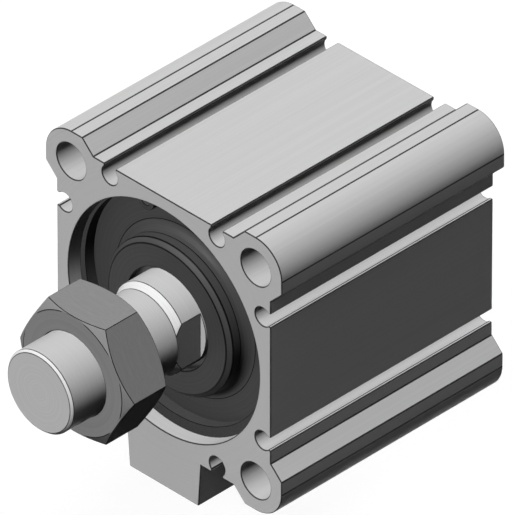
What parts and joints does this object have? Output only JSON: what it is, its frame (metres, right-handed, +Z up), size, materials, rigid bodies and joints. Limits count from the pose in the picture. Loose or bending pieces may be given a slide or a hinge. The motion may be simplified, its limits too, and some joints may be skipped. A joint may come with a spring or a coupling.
{
  "type": "compact pneumatic cylinder",
  "caption": "Compact double-acting air cylinder with square extruded body, sensor slots, port rail, threaded rod end and lock nut.",
  "frame": {"origin": "on the bore axis, in the plane of the rod-side face of the barrel", "axes": "-Y along the rod, out of the cylinder; +X right as seen from the rod; +Z up, away from the ports"},
  "size_m": [0.064, 0.094, 0.071],
  "materials": {
    "anodised_aluminium": "clear anodised, satin",
    "dark_anodised_aluminium": "dark hard anodised, satin",
    "phosphated_spring_steel": "phosphated, matt",
    "nitrile_rubber": "matt",
    "seal_polyurethane": "smooth, matt",
    "bearing_bronze": "sintered, oiled",
    "wear_ring_plastic": "filled plastic",
    "turned_aluminium": "turned",
    "hard_chromed_steel": "ground and hard chromed",
    "machined_steel": "machined, plain zinc finish",
    "blackened_steel": "blackened",
    "magnet_compound": "bonded ferrite"
  },
  "bodies": {
    "barrel": {"cylinder_body": "anodised_aluminium", "front_retaining_ring": "phosphated_spring_steel", "rod_cover": "dark_anodised_aluminium", "rod_cover_oring": "nitrile_rubber", "rod_bush": "bearing_bronze", "rod_seal": "seal_polyurethane", "rear_cover": "dark_anodised_aluminium", "rear_cover_oring": "nitrile_rubber", "rear_retaining_ring": "phosphated_spring_steel"},
    "piston_seals": {"piston_seal": "seal_polyurethane", "wear_ring": "wear_ring_plastic"},
    "rod": {"piston_rod": "hard_chromed_steel", "piston": "turned_aluminium", "magnet_ring": "magnet_compound", "magnet_washer": "nitrile_rubber", "front_bumper": "seal_polyurethane", "rear_bumper": "seal_polyurethane", "piston_oring": "nitrile_rubber", "screw_washer": "machined_steel", "piston_screw": "blackened_steel"},
    "lock_nut": {"rod_end_nut": "machined_steel"}
  },
  "joints": [
    {"name": "rod_slide", "type": "slide", "parent": "barrel", "child": "piston_seals", "axis": [0, -1, 0], "range_m": [0, 0.02]},
    {"name": "rod_turn", "type": "hinge", "parent": "piston_seals", "child": "rod", "pos_m": [0, 0, 0], "axis": [0, -1, 0], "continuous": true},
    {"name": "nut_travel", "type": "slide", "parent": "rod", "child": "lock_nut", "axis": [0, -1, 0], "range_m": [-0.008, 0.008]}
  ]
}
